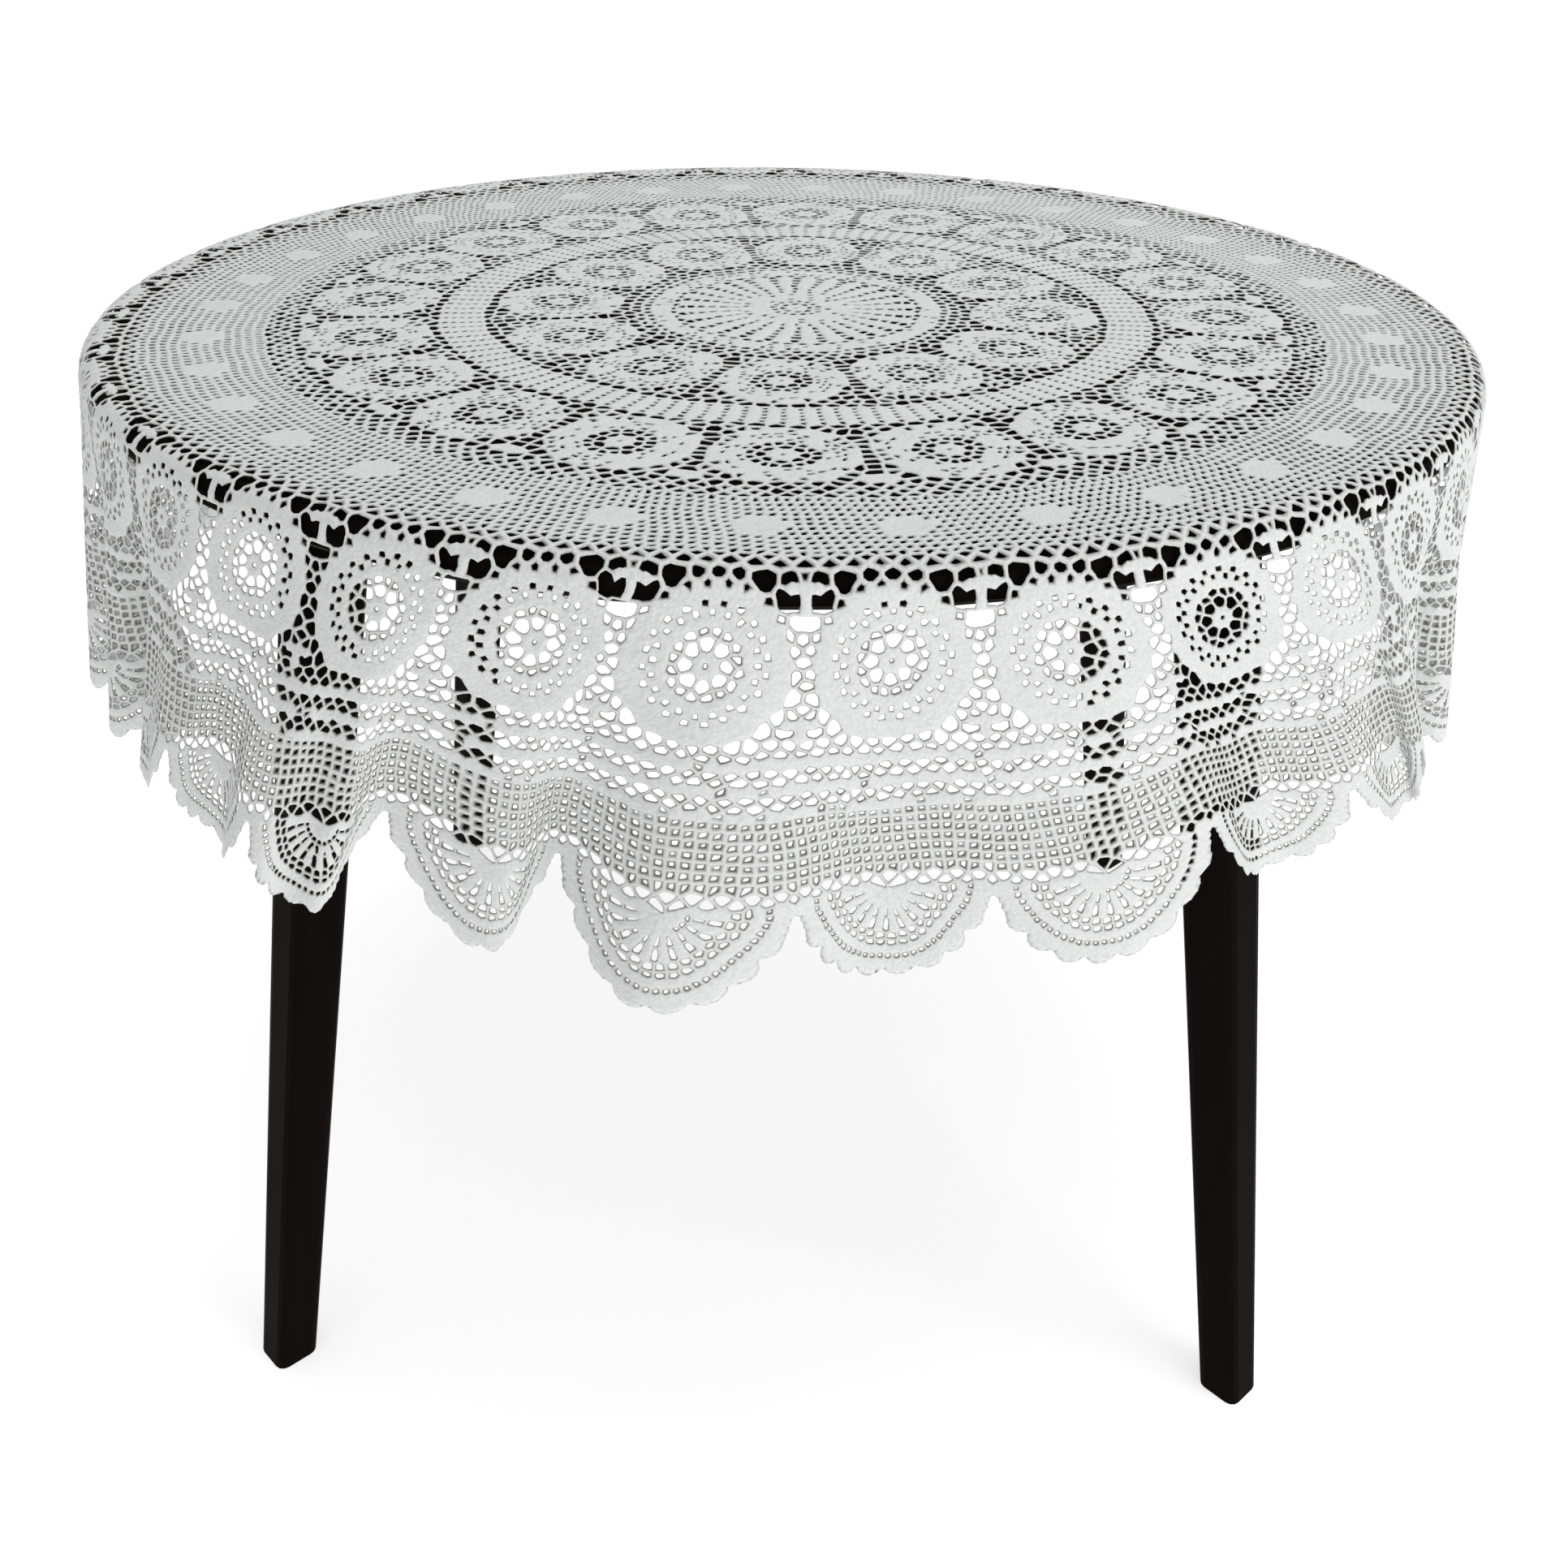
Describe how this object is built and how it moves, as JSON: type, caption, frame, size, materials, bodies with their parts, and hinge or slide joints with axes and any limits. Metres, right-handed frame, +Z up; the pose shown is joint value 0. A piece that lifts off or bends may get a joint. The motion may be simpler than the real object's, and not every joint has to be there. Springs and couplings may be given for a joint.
{
  "type": "crochet tablecloth on round table",
  "caption": "Round openwork crochet tablecloth with a scalloped edge, hanging in soft folds over a plain round table on splayed tapered legs.",
  "frame": {"origin": "middle of the outer box's underside, on the floor", "axes": "+Z up, the table's square leg layout along X and Y, the viewer of the picture on the -Y side"},
  "size_m": [1.064, 1.0458, 0.7463],
  "materials": {
    "yarn": "white cotton crochet yarn, matt",
    "lacquer": "black satin lacquer on wood"
  },
  "bodies": {
    "root": {"cloth": "yarn", "table_top": "lacquer", "leg_front_left": "lacquer", "leg_front_right": "lacquer", "leg_rear_left": "lacquer", "leg_rear_right": "lacquer"}
  },
  "joints": []
}
